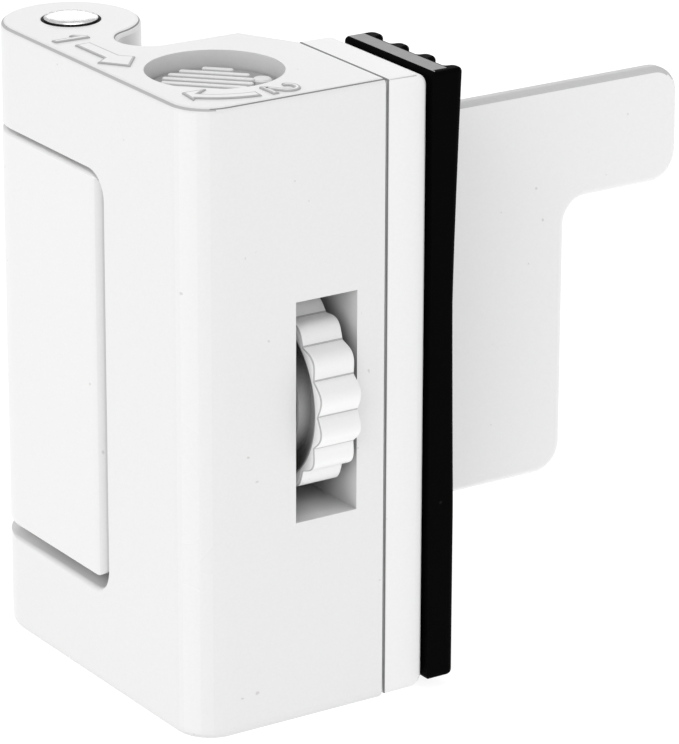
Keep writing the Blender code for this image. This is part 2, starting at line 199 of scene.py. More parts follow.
def place(axis):
    """Rotation that takes local (x, y, z) to the plane whose normal is the named axis."""
    if axis == "Z":
        return Matrix.Identity(4)
    if axis == "Y":
        return Matrix(((1, 0, 0, 0), (0, 0, 1, 0), (0, 1, 0, 0), (0, 0, 0, 1)))
    return Matrix(((0, 0, 1, 0), (1, 0, 0, 0), (0, 1, 0, 0), (0, 0, 0, 1)))


def mesh_object(bm, name):
    """A bmesh in millimetres as an object in metres."""
    bmesh.ops.recalc_face_normals(bm, faces=bm.faces)
    bmesh.ops.transform(bm, matrix=Matrix.Scale(MM, 4), verts=bm.verts)
    mesh = bpy.data.meshes.new(name)
    bm.to_mesh(mesh)
    bm.free()
    obj = bpy.data.objects.new(name, mesh)
    bpy.context.scene.collection.objects.link(obj)
    return obj


def loft(rings, close=False):
    """Skins a list of rings of 3-D points, with caps at both ends unless the rings close."""
    bm = bmesh.new()
    rows = [[bm.verts.new(p) for p in ring] for ring in rings]
    pairs = list(zip(rows, rows[1:])) + ([(rows[-1], rows[0])] if close else [])
    for low, high in pairs:
        for k in range(len(low)):
            n = (k + 1) % len(low)
            bm.faces.new((low[k], low[n], high[n], high[k]))
    if not close:
        bm.faces.new(rows[0])
        bm.faces.new(rows[-1])
    return bm


def prism(outline, low, high, low_fillet=0.0, high_fillet=0.0, axis="Z", share=None):
    """An outline from low to high along the axis, with filleted end edges."""
    levels = [(low, 0.0)]
    if low_fillet:
        levels = [(low + low_fillet * (1 - math.cos(t)), low_fillet * (1 - math.sin(t)))
                  for t in quarter_turn(FILLET_STEPS)]
    if high_fillet:
        levels += [(high - high_fillet * (1 - math.sin(t)), high_fillet * (1 - math.cos(t)))
                   for t in quarter_turn(FILLET_STEPS)]
    else:
        levels.append((high, 0.0))
    bm = loft([[(x, y, z) for x, y in inset(outline, d, share)] for z, d in levels])
    bmesh.ops.transform(bm, matrix=place(axis), verts=bm.verts)
    return bm


def lathe(profile, centre=(0, 0, 0), axis="Z", steps=96, radius_at=None):
    """Turns a closed profile of (radius, height) points; radius_at varies a radius by angle."""
    rings = []
    for i in range(steps):
        a = 2 * math.pi * i / steps
        ring = []
        for r, h in profile:
            rr = radius_at(r, a) if radius_at else r
            ring.append((rr * math.cos(a), rr * math.sin(a), h))
        rings.append(ring)
    bm = loft(rings, close=True)
    bmesh.ops.remove_doubles(bm, verts=bm.verts, dist=1e-4)
    on_axis = [edge for edge in bm.edges if not edge.link_faces]
    bmesh.ops.delete(bm, geom=on_axis, context="EDGES")
    bmesh.ops.transform(bm, matrix=Matrix.Translation(centre) @ place(axis), verts=bm.verts)
    return bm


def rod(radius, low, high, centre=(0, 0, 0), axis="Z", steps=96):
    return lathe([(0, low), (radius, low), (radius, high), (0, high)], centre, axis, steps)


def block(low, high):
    return prism(rectangle(low[:2], high[:2]), low[2], high[2])


def fixed(obj):
    """Applies the object's modifiers to its mesh and merges the slivers they leave."""
    evaluated = obj.evaluated_get(bpy.context.evaluated_depsgraph_get())
    mesh = bpy.data.meshes.new_from_object(evaluated)
    old = obj.data
    obj.modifiers.clear()
    obj.data = mesh
    bpy.data.meshes.remove(old)
    merge_slivers(mesh)


def merge_slivers(mesh):
    """Merges points so close together that the faces between them have no area."""
    bm = bmesh.new()
    bm.from_mesh(mesh)
    bmesh.ops.remove_doubles(bm, verts=bm.verts, dist=MERGE_DISTANCE)
    bmesh.ops.dissolve_degenerate(bm, edges=bm.edges, dist=MERGE_DISTANCE / 4)
    bm.to_mesh(mesh)
    bm.free()


def slot_of(obj, mat):
    """Place of a material among the object's own."""
    return obj.data.materials.find(mat.name)


def with_materials(obj, *materials):
    for mat in materials:
        obj.data.materials.append(mat)
    return obj


def paint(obj, choose):
    """Gives each face the material that choose(face) returns, unless that is None."""
    for face in obj.data.polygons:
        mat = choose(face)
        if mat is not None:
            face.material_index = slot_of(obj, mat)


def combine(obj, bm, operation="DIFFERENCE", coat=None):
    """Cuts a shape from an object, or joins one to it; coat is the material of its faces."""
    slot = slot_of(obj, coat) if coat else 0
    for face in bm.faces:
        face.material_index = slot
    other = with_materials(mesh_object(bm, obj.name + ".other"), *obj.data.materials)
    combine_object(obj, other, operation)


def combine_object(obj, other, operation):
    """Cuts or joins another object, which is used up; its faces keep their material slots."""
    step = obj.modifiers.new("combine", "BOOLEAN")
    step.operation = operation
    step.object = other
    step.material_mode = "INDEX"
    fixed(obj)
    bpy.data.objects.remove(other, do_unlink=True)


def bevel(obj, width, segments, angle, coat=None):
    """Rounds the object's edges sharper than angle; coat is the material of the rounded faces."""
    step = obj.modifiers.new("bevel", "BEVEL")
    step.width = width * MM
    step.segments = segments
    step.limit_method = "ANGLE"
    step.angle_limit = math.radians(angle)
    step.miter_outer = "MITER_SHARP"
    step.use_clamp_overlap = True
    step.material = slot_of(obj, coat) if coat else -1
    fixed(obj)


def tidy_surface(obj):
    """Smooth shading with flat faces kept flat."""
    obj.data.shade_smooth()
    obj.data.set_sharp_from_angle(angle=math.radians(SHARP_ANGLE))
    step = obj.modifiers.new("normals", "WEIGHTED_NORMAL")
    step.keep_sharp = True


# ---------------------------------------------------------------- materials

def new_material(name, color, roughness, metallic=0.0):
    mat = bpy.data.materials.new(name)
    mat.use_nodes = True
    shader = mat.node_tree.nodes["Principled BSDF"]
    shader.inputs["Metallic"].default_value = metallic
    shader.inputs["Base Color"].default_value = (*color, 1.0)
    shader.inputs["Roughness"].default_value = roughness
    return mat


class Nodes:
    """Short names for making and linking the nodes of one material."""

    def __init__(self, mat):
        self.tree = mat.node_tree
        self.shader = self.tree.nodes["Principled BSDF"]
        self.place = self.tree.nodes.new("ShaderNodeTexCoord").outputs["Object"]

    def link(self, output, target):
        self.tree.links.new(output, target)
        return target

    def noise(self, scale, detail=3.0, stretch=(1, 1, 1)):
        mapping = self.tree.nodes.new("ShaderNodeMapping")
        mapping.inputs["Scale"].default_value = stretch
        self.link(self.place, mapping.inputs["Vector"])
        node = self.tree.nodes.new("ShaderNodeTexNoise")
        node.inputs["Scale"].default_value = scale
        node.inputs["Detail"].default_value = detail
        self.link(mapping.outputs["Vector"], node.inputs["Vector"])
        return node.outputs["Fac"]

    def crevices(self, reach):
        """0 in narrow gaps and deep corners, 1 on open surfaces; used for painted shade in colours.
        """
        node = self.tree.nodes.new("ShaderNodeAmbientOcclusion")
        node.samples = 8
        node.inputs["Distance"].default_value = reach * MM
        return node.outputs["AO"]

    def ramp(self, fac, stops):
        """A colour ramp from (position, colour) stops."""
        node = self.tree.nodes.new("ShaderNodeValToRGB")
        ramp = node.color_ramp
        for i, (position, color) in enumerate(stops):
            stop = ramp.elements[i] if i < 2 else ramp.elements.new(position)
            stop.position = position
            stop.color = (*color, 1.0)
        self.link(fac, node.inputs["Fac"])
        return node.outputs["Color"]

    def span(self, fac, low, high, start=0.3, end=0.7):
        """Maps a factor from start..end to low..high."""
        node = self.tree.nodes.new("ShaderNodeMapRange")
        node.inputs["From Min"].default_value = start
        node.inputs["From Max"].default_value = end
        node.inputs["To Min"].default_value = low
        node.inputs["To Max"].default_value = high
        self.link(fac, node.inputs["Value"])
        return node.outputs["Result"]

    def multiply(self, first, second):
        """Product of two colours."""
        node = self.tree.nodes.new("ShaderNodeMix")
        node.data_type = "RGBA"
        node.blend_type = "MULTIPLY"
        node.inputs["Factor"].default_value = 1.0
        self.link(first, node.inputs["A"])
        self.link(second, node.inputs["B"])
        return node.outputs["Result"]

    def bump(self, height, strength, distance):
        node = self.tree.nodes.new("ShaderNodeBump")
        node.inputs["Strength"].default_value = strength
        node.inputs["Distance"].default_value = distance
        self.link(height, node.inputs["Height"])
        self.link(node.outputs["Normal"], self.shader.inputs["Normal"])


def gray(value, warm=0.0):
    """A gray that gets warmer as warm rises."""
    return (value * (1 + warm), value, value * (1 - warm))


def coated_white(name, tone, roughness, ripple=0.05, reach=1.6, depth=0.75):
    """Gloss paint or plastic: fine grain, a few tiny specks, slight orange peel and duller patches.

    Painted shade: the colour is darker in crevices narrower than reach, down to depth times its
    tone.
    """
    mat = new_material(name, gray(tone), roughness)
    n = Nodes(mat)
    grain = n.ramp(n.noise(2600, 3), [(0.3, gray(tone * 0.99)), (0.7, gray(tone * 1.01))])
    specks = n.ramp(n.noise(900, 0),
                    [(0.0, gray(1.0)), (0.87, gray(1.0)), (0.885, gray(0.8, 0.01))])
    # painted shade: the colour darkens in crevices, from ambient occlusion
    crevice = n.ramp(n.crevices(reach), [(0.1, gray(depth)), (0.95, gray(1.0))])
    n.link(n.multiply(n.multiply(grain, specks), crevice), n.shader.inputs["Base Color"])
    n.link(n.span(n.noise(60, 2), roughness * 0.88, roughness * 1.14, 0.1, 0.9),
           n.shader.inputs["Roughness"])
    n.bump(n.noise(900, 2), ripple, 0.0001)
    return mat


def steel(name, tone, roughness, stretch):
    """Turned or drawn metal with fine lines along one direction."""
    mat = new_material(name, gray(tone), roughness, 1.0)
    n = Nodes(mat)
    lines = n.noise(1500, 3, stretch)
    n.link(n.ramp(lines, [(0.3, gray(tone * 0.88)), (0.7, gray(tone * 1.05))]),
           n.shader.inputs["Base Color"])
    n.link(n.span(lines, roughness * 0.8, roughness * 1.3), n.shader.inputs["Roughness"])
    n.bump(lines, 0.06, 0.00005)
    return mat


def brass(name):
    mat = new_material(name, (0.78, 0.58, 0.28), 0.3, 1.0)
    n = Nodes(mat)
    n.link(n.ramp(n.noise(300, 4), [(0.3, (0.66, 0.47, 0.21)), (0.7, (0.84, 0.64, 0.33))]),
           n.shader.inputs["Base Color"])
    n.link(n.span(n.noise(700, 2), 0.22, 0.4), n.shader.inputs["Roughness"])
    n.bump(n.noise(1500, 2), 0.08, 0.00005)
    return mat


def nylon(name):
    mat = new_material(name, gray(0.72, 0.01), 0.5)
    n = Nodes(mat)
    n.link(n.ramp(n.noise(200, 3), [(0.3, gray(0.66, 0.02)), (0.7, gray(0.76, 0.01))]),
           n.shader.inputs["Base Color"])
    n.link(n.span(n.noise(500, 2), 0.42, 0.6), n.shader.inputs["Roughness"])
    n.bump(n.noise(1200, 2), 0.1, 0.00008)
    return mat


def rubber(name, tone, roughness):
    """Black rubber with a fine grain and a few pale specks of dust."""
    mat = new_material(name, gray(tone), roughness)
    mat.node_tree.nodes["Principled BSDF"].inputs["Specular IOR Level"].default_value = 0.01
    n = Nodes(mat)
    specks = n.noise(900, 1)
    n.link(n.ramp(specks, [(0.0, gray(tone)), (0.77, gray(tone * 1.15)), (0.8, gray(tone * 6))]),
           n.shader.inputs["Base Color"])
    n.link(n.span(n.noise(400, 3), roughness * 0.85, min(1.0, roughness * 1.15)),
           n.shader.inputs["Roughness"])
    n.bump(n.noise(1400, 3), 0.12, 0.0001)
    return mat


WHITE = coated_white("white_coat", 0.86, 0.3)
# Painted shade: a dark coat for lines in edge fillets, where the edges turn from the light.
WHITE_EDGE_SHADE = coated_white("white_coat_edge_shade", 0.24, 0.35)
# Painted shade: a gray coat for the sides of the raised marks and the front of the top edge.
WHITE_MARK_SHADE = coated_white("white_coat_mark_shade", 0.5, 0.35)
WHITE_LEVER = coated_white("white_coat_lever", 0.88, 0.3, reach=3.5, depth=0.5)
# Painted light: the lever's top fillet is paler, as if lit down in its gap.
WHITE_LEVER_TOP_LIT = coated_white("white_coat_lever_top_lit", 0.92, 0.3, reach=0.5, depth=0.9)
# Painted shade: grayer coats for the lever's right edge as it turns to the side.
WHITE_LEVER_SIDE_SHADE = coated_white("white_coat_lever_side_shade", 0.82, 0.3, reach=3.5, depth=0.5)
WHITE_LEVER_TURN_SHADE = coated_white("white_coat_lever_turn_shade", 0.72, 0.3, reach=3.5, depth=0.5)
# Painted shade: a gray coat for soft edges that turn from the light.
WHITE_SOFT_EDGE_SHADE = coated_white("white_coat_soft_edge_shade", 0.6, 0.35)
# Painted shade: inner walls darken more, and further from their openings.
WHITE_INNER_SHADE = coated_white("white_coat_inner_shade", 0.86, 0.5, reach=4.5, depth=0.5)
# Painted shade: the recess wall darkens away from its rim.
WHITE_RECESS_SHADE = coated_white("white_coat_recess_shade", 0.9, 0.4, reach=3.5, depth=0.7)
# Painted shade for the notch beside the hinge barrel.
WHITE_NOTCH_SHADE = coated_white("white_coat_notch_shade", 0.86, 0.3, reach=10.0, depth=0.25)
# Painted highlight: paler coats down the front right corner.
PAINTED_CORNER_HIGHLIGHT = coated_white("white_corner_highlight", 0.905, 0.28)
PAINTED_CORNER_HIGHLIGHT_SOFT = coated_white("white_corner_highlight_soft", 0.882, 0.29)
WHITE_BLOCK = coated_white("white_coat_block", 0.93, 0.35, reach=1.5)
PLASTIC = coated_white("white_plastic", 0.84, 0.35, 0.03)
PLASTIC_WHEEL = coated_white("white_plastic_wheel", 0.95, 0.35, 0.03, reach=0.8, depth=0.4)
# Painted shade: the dish darkens strongly in its hollow.
PLASTIC_DISH_SHADE = coated_white("white_plastic_dish_shade", 0.88, 0.35, 0.03, reach=4.0, depth=0.12)
# Painted shade: dark lines in the grooves between lobes and at the rim's front edge.
PLASTIC_LINE_SHADE = coated_white("white_plastic_line_shade", 0.5, 0.4, 0.03, reach=0.8)
# Painted shade: the button's face, deep in its recess, is dark gray.
PLASTIC_FLOOR_SHADE = coated_white("white_plastic_floor_shade", 0.36, 0.4, 0.03)
STEEL = steel("bright_steel", 0.72, 0.22, (1, 1, 0.05))
PIN_STEEL = steel("pin_steel", 0.97, 0.25, (1, 1, 0.3))
# Painted shade: nearly black steel for the pin's side in its hole.
PIN_SIDE_SHADE = steel("pin_steel_side_shade", 0.06, 0.4, (1, 1, 0.3))
BRASS = brass("brass")
NYLON = nylon("nylon")
RUBBER = rubber("black_rubber", 0.0018, 0.5)
RUBBER_PALE_TOP = rubber("black_rubber_pale_top", 0.36, 0.7)

HOUSING_COATS = (WHITE, WHITE_EDGE_SHADE, WHITE_INNER_SHADE, WHITE_RECESS_SHADE, WHITE_MARK_SHADE, WHITE_NOTCH_SHADE,
                 PAINTED_CORNER_HIGHLIGHT, PAINTED_CORNER_HIGHLIGHT_SOFT)


def dress(obj, body, node):
    """Smooths a finished piece, ties it to its body and hides the CAD node it stands for."""
    tidy_surface(obj)
    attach(obj, body)
    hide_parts(node)


# ---------------------------------------------------------------- housing

def housing_outline():
    """Top view of the body."""
    tangent = math.degrees(math.atan2(NOTCH_Y, NOTCH_X))
    right, front = HOUSING_HIGH.x, -BARREL_R
    angular = rounded([(NOTCH_X, front, 0), (right, front, CORNER_R), (right, REAR, 0),
                       (*CHAMFER_END, 0), (*CHAMFER_START, 1.2), (LEFT_X, NOTCH_Y, 0)], 10)[1:-1]
    return (angular + arc(NOTCH_X, NOTCH_Y, NOTCH_R, 0, tangent - 180, 24)
            + arc(0, 0, BARREL_R, tangent, 270, 64)[1:])


def stroke(points, width):
    """Outline of a line of constant width through the points."""
    line = [Vector(p) for p in points]
    left, right = [], []
    for i, p in enumerate(line):
        along = (line[min(i + 1, len(line) - 1)] - line[max(i - 1, 0)]).normalized()
        side = Vector((-along.y, along.x)) * width / 2
        left.append(p + side)
        right.append(p - side)
    return [tuple(v) for v in right + left[::-1]]


def make_step_marks():
    """The raised 1 with its straight arrow and the raised 2 with its curved arrow."""
    one = [(7.65, -7.15), (8.6, -7.1), (8.8, -2.4), (8.2, -2.3), (6.9, -3.6), (6.95, -4.3),
           (7.75, -3.75)]
    straight = [(10.9, -5.75), (17.7, -5.65), (18.9, -7.3), (22.3, -4.8), (19.15, -2.2),
                (17.7, -3.55), (10.9, -3.65)]
    two = stroke(arc(39.85, 6.2, 1.2, 175, -35, 10) + [(38.7, 3.9)], 0.85)
    two_foot = rectangle((38.15, 3.35), (41.35, 4.15))
    return [mark_solid(outline, "step_mark_" + str(i + 1))
            for i, outline in enumerate((one, straight, curved_arrow(), two, two_foot))]


def curved_arrow():
    """An arrow whose shaft follows the round recess and whose head points back along step 1."""
    inner_r, outer_r = 11.1, 12.7
    inner, outer = [], []
    for degrees in (-6, -12, -18, -24, -30, -36, -42):
        spoke = Vector((math.cos(math.radians(degrees)), math.sin(math.radians(degrees))))
        inner.append((BUTTON_X + inner_r * spoke.x, BUTTON_Y + inner_r * spoke.y))
        outer.append((BUTTON_X + outer_r * spoke.x, BUTTON_Y + outer_r * spoke.y))
    return [(38.6, -5.9)] + outer[::-1] + inner + [(35.5, -2.3), (35.3, -5.5)]


def mark_solid(outline, name):
    """A raised mark: soft edges in painted shade round a white middle."""
    base, top, soft, strip = TOP - 0.15, TOP + MARK_HEIGHT, 0.1, 0.2
    if sum(x0 * y1 - x1 * y0 for (x0, y0), (x1, y1) in edges(outline)) < 0:
        outline = outline[::-1]
    rings = [[(x, y, z) for x, y in inset(outline, d)]
             for z, d in ((base, 0), (top - soft, 0), (top, soft), (top, soft + strip))]
    obj = with_materials(mesh_object(loft(rings), name), *HOUSING_COATS)
    first_cap = len(obj.data.polygons) - 2

    def mark_shade_coat(face):
        return WHITE if face.normal.z > 0.9 and face.index >= first_cap else WHITE_MARK_SHADE

    paint(obj, mark_shade_coat)
    return obj


def make_housing():
    outline = housing_outline()
    share = [0.4 if min(y0, y1) > REAR - 0.1 else 1.0 for (_, y0), (_, y1) in edges(outline)]
    body = mesh_object(prism(outline, 0, TOP, BOTTOM_FILLET, TOP_FILLET, share=share), "body_shell")
    with_materials(body, *HOUSING_COATS)
    paint(body, rim_edge_shade)
    paint(body, notch_shade)
    paint(body, corner_highlight)

    low, high = POCKET_Z
    pocket = rectangle((-20, low), (POCKET_RIGHT_X, high), POCKET_CORNER_R)
    combine(body, pocket_cutter(pocket))
    combine(body, rod(POCKET_BARREL_R, low, high, steps=128))
    combine(body, block(STRAP_SEAT_LOW, STRAP_SEAT_HIGH))
    bevel(body, SOFT_BEVEL, 3, 45)
    paint(body, rear_edge_shade)
    # The walls of the recess, the pin hole, the window and the hidden bores carry painted shade.
    recess = rod(RECESS_R, RECESS_LOW_Z, TOP + 2, (BUTTON_X, BUTTON_Y, 0), steps=128)
    combine(body, recess, coat=WHITE_RECESS_SHADE)
    combine(body, rod(PIN_HOLE_R, high - 1, TOP + 2), coat=WHITE_INNER_SHADE)
    # The rims of the recess and the pin hole are rounded in the dark painted edge shade.
    bevel(body, EDGE_SHADE_BEVEL, 3, 45, WHITE_EDGE_SHADE)
    window = block((WINDOW_X, WINDOW_Y[0], WINDOW_Z[0]),
                   (HOUSING_HIGH.x + 5, WINDOW_Y[1], WINDOW_Z[1]))
    combine(body, window, coat=WHITE_INNER_SHADE)
    bevel(body, WINDOW_BEVEL, 2, 45)
    for bore in hidden_bores():
        combine(body, bore, coat=WHITE_INNER_SHADE)
    for mark in make_step_marks():
        combine_object(body, mark, "UNION")
    dress(body, "body", "housing")


def hidden_bores():
    """Cutters for the room that the mechanism needs inside the housing."""
    catch_low, catch_high = CATCH_Z
    # The button's stem, guide and spring; the catch slider's channel and its way to the lever.
    bores = [rod(6.5, catch_low, 73.0, (BUTTON_X, BUTTON_Y, 0)),
             block((20.5, -1.1, catch_low), (40.4, 7.5, catch_high)),
             block((16.9, POCKET_BACK_Y - 1, catch_low), (21.7, 3.0, catch_high))]
    # The lead screw's end, and its bush in the rear wall.
    bores += [rod(2.8, -4.5, 7, WHEEL_AXLE, "Y", 48), rod(4.3, 13, REAR + 1, WHEEL_AXLE, "Y", 48)]
    # The guide rods and their bushes.
    for node in GUIDE_RODS:
        bores += [rod(2.0, 4.5, REAR + 1, rod_axle(node), "Y", 48),
                  rod(2.7, 10.2, REAR + 1, rod_axle(node), "Y", 48)]
    # The hinge pin's lower end and its set screw, and the strap plate's screws.
    bores += [rod(3.5, 3.0, POCKET_Z[0] + 1), rod(1.65, 0.5, BARREL_R + 1, (0, 0, 7.0), "Y", 32)]
    return bores + [rod(1.35, 17.7, 24.0, (0, STRAP_SCREW_Y, z), "X", 24) for z in STRAP_SCREW_Z]


def rod_axle(node):
    """Where a guide rod's axis crosses y = 0."""
    low, high = cad_box(node)
    return (low.x + high.x) / 2, 0, (low.z + high.z) / 2


def pocket_cutter(outline):
    """The lever pocket's cutter: it rounds the pocket's lower front edge."""
    share = []
    for (x0, z0), (x1, z1) in edges(outline):
        downward = max(0.0, x1 - x0) / math.hypot(x1 - x0, z1 - z0)
        share.append(downward ** 2 if max(z0, z1) < WHEEL_Z else 0.0)
    radius = 0.6
    levels = [(POCKET_BACK_Y, 0.0)]
    levels += [(-BARREL_R + radius * (1 - math.sin(t)), radius * (1 - math.cos(t)))
               for t in quarter_turn(5)]
    levels.append((-BARREL_R - 6, radius))
    return loft([[(x, y, z) for x, z in inset(outline, -d, share)] for y, d in levels])


def rim_edge_shade(face):
    """Painted shade: a dark line in the top edge's fillet, wider and paler along the front."""
    height = (TOP * MM - face.center.z) / (TOP_FILLET * MM)
    front = face.center.y < (CORNER_R - BARREL_R) * MM and face.normal.y < -0.3
    if front and 0.1 < height < 0.5:
        return WHITE_MARK_SHADE
    return WHITE_EDGE_SHADE if 0.1 < height < 0.3 else None


def notch_shade(face):
    """Painted shade in the notch beside the hinge barrel, darker with its depth."""
    x, y, z = face.center / MM
    in_notch = math.hypot(x - NOTCH_X, y - NOTCH_Y) < NOTCH_R + 0.1
    beside_notch = x > 3 and y > 2 and math.hypot(x, y) < BARREL_R + 0.1
    upright = TOP_FILLET < z < TOP - TOP_FILLET and abs(face.normal.z) < 0.1
    return WHITE_NOTCH_SHADE if upright and (in_notch or beside_notch) else None


def corner_highlight(face):
    """A painted highlight down the front right corner, softer at its sides."""
    turn = math.degrees(math.atan2(face.normal.y, face.normal.x))
    upright = abs(face.normal.z) < 0.3 and face.center.x > (HOUSING_HIGH.x - CORNER_R) * MM
    if upright and -70 < turn < -45:
        return PAINTED_CORNER_HIGHLIGHT
    return PAINTED_CORNER_HIGHLIGHT_SOFT if upright and -79 < turn < -27 else None


def rear_edge_shade(face):
    """Painted shade: a dark line down the right side's rear edge."""
    at_edge = min(face.normal.x, face.normal.y) > 0.2 and face.center.y > (REAR - 0.3) * MM
    return WHITE_EDGE_SHADE if at_edge else None


# ---------------------------------------------------------------- moving pieces

def lever_side_shade(face):
    """Painted shade: the lever's rounded right edge is a little grayer the more it turns to the
    side.
    """
    if face.normal.x > 0.35 and face.normal.y < 0:
        return WHITE_LEVER_SIDE_SHADE if face.normal.x < 0.65 else WHITE_LEVER_TURN_SHADE
    return None


def make_lever():
    """The panel in the front, with its barrel on the left and a rounded edge on the right."""
    low, high = LEVER_LOW.z, LEVER_HIGH.z
    right, back, edge = LEVER_HIGH.x, -3.8, 3.0
    radius = -LEVER_LOW.y
    start = math.degrees(math.asin(back / radius))
    section = (arc(right - edge, -radius + edge, edge, -90, 0, 14) + [(right, back)]
               + arc(0, 0, radius, start, 270, 90))
    lever = mesh_object(prism(section, low, high, 0.5, 0.5), "lever_panel")
    with_materials(lever, WHITE_LEVER, WHITE_LEVER_TOP_LIT, WHITE_LEVER_SIDE_SHADE, WHITE_LEVER_TURN_SHADE)
    paint(lever, lever_side_shade)
    face_outline = rectangle((-30, low - 0.01), (right + 0.01, high + 0.01), LEVER_CORNER_R, 14)
    combine(lever, prism(face_outline, -20, 20, axis="Y"), "INTERSECT")
    bevel(lever, 0.6, 4, 50)
    # painted light: the lever's top fillet gets the paler coat
    paint(lever, lambda face: WHITE_LEVER_TOP_LIT if face.center.z > (high - 0.62) * MM else None)
    combine(lever, rod(LEVER_BORE_R, low - 1, high + 1))
    striker_seat = block((17.7, back - 1.5, 57.7), (20.3, back + 1, 61.2))
    combine(lever, striker_seat)
    dress(lever, "lever", "swing_lever")


def make_pin():
    """The pin: its side, painted dark as shade, shows a little above the barrel, below a bright,
    domed end.
    """
    dome, chamfer, foot = 0.18, 0.12, 0.3
    radius, rim = PIN_HIGH.x, PIN_HIGH.z - dome
    crown = [((radius - chamfer) * (1 - k), rim + dome * (1 - (1 - k) ** 2))
             for k in (0.0, 0.25, 0.5, 0.75, 1.0)]
    profile = [(0, PIN_LOW.z), (radius - foot, PIN_LOW.z), (radius, PIN_LOW.z + foot),
               (radius, rim - chamfer)] + crown
    pin = with_materials(mesh_object(lathe(profile), "pin_turned"), PIN_STEEL, PIN_SIDE_SHADE)
    side_from = (PIN_LOW.z + 1) * MM
    # painted shade on the pin's side
    paint(pin, lambda face: PIN_SIDE_SHADE if face.center.z > side_from and face.normal.z < 0.3 else None)
    dress(pin, "body", "hinge_pin")


def make_button():
    """The recess floor with straight grip ribs and a small dot, on its stem."""
    centre = (BUTTON_X, BUTTON_Y, 0)
    radius, top, under = (BUTTON_HIGH.x - BUTTON_LOW.x) / 2, BUTTON_HIGH.z, BUTTON_UNDER_Z
    stem_r, stem_low = 2.4, BUTTON_LOW.z
    profile = [(0, stem_low), (stem_r, stem_low), (stem_r, under), (radius, under),
               (radius, top - 0.25), (radius - 0.1, top - 0.07), (radius - 0.25, top), (0, top)]
    button = mesh_object(lathe(profile, centre), "button_cap")
    # painted shade: the button's face between its ribs is dark gray, deep in the recess
    with_materials(button, PLASTIC_FLOOR_SHADE, PLASTIC)
    wedge = [(BUTTON_X - 0.2, stem_low), (BUTTON_X + 3.4, stem_low - 1),
             (BUTTON_X + 4.4, stem_low + 4.6)]
    combine(button, prism(wedge, BUTTON_Y - 4, BUTTON_Y + 4, axis="Y"))
    pitch, reach, half_width, shift = 1.75, 5.6, 0.45, 0.6
    for i in range(-3, 4):
        offset = i * pitch
        half = math.sqrt(reach ** 2 - offset ** 2)
        rib = rectangle((-half, offset - half_width), (half, offset + half_width), 0.4, 5)
        turned = [tuple(Matrix.Rotation(math.radians(45), 2) @ Vector(p)) for p in rib]
        outline = [(BUTTON_X + x - shift, BUTTON_Y + y - shift) for x, y in turned]
        combine(button, prism(outline, top - 0.1, top + 0.8, 0, 0.2), "UNION", PLASTIC)
    dot = [(0, top - 0.1), (1.2, top - 0.1), (1.2, top + 0.5), (1.0, top + 0.7), (0, top + 0.75)]
    combine(button, lathe(dot, (BUTTON_X + 1.9, BUTTON_Y + 5.5, 0), steps=32), "UNION", PLASTIC)
    dress(button, "button", "lock_button")


def coil(radius, wire, low, high, turns, centre, axis="Z"):
    """A compression spring's round wire between two heights."""
    per_turn, around = 32, 10
    count = turns * per_turn
    rings = []
    for i in range(count + 1):
        angle = 2 * math.pi * i / per_turn
        height = low + wire + (high - low - 2 * wire) * i / count
        ring = []
        for k in range(around):
            a = 2 * math.pi * k / around
            r = radius + wire * math.cos(a)
            ring.append((r * math.cos(angle), r * math.sin(angle), height + wire * math.sin(a)))
        rings.append(ring)
    bm = loft(rings)
    bmesh.ops.transform(bm, matrix=Matrix.Translation(centre) @ place(axis), verts=bm.verts)
    return bm


def make_springs():
    """The coils of the two springs that the button and the catch press, at the length of their CAD
    nodes.
    """
    low, high = cad_box("button_spring")
    button = coil(4.2, 0.4, low.z, high.z, 5, (BUTTON_X, BUTTON_Y, 0))
    button = with_materials(mesh_object(button, "button_coil"), STEEL)
    dress(button, "body", "button_spring")
    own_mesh(button)

    low, high = cad_box("catch_spring")
    centre_z = (low.z + high.z) / 2
    catch = coil(0.85, 0.2, low.x, high.x, 7, (0, BUTTON_Y, centre_z), "X")
    catch = with_materials(mesh_object(catch, "catch_coil"), STEEL)
    dress(catch, "body", "catch_spring")
    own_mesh(catch)


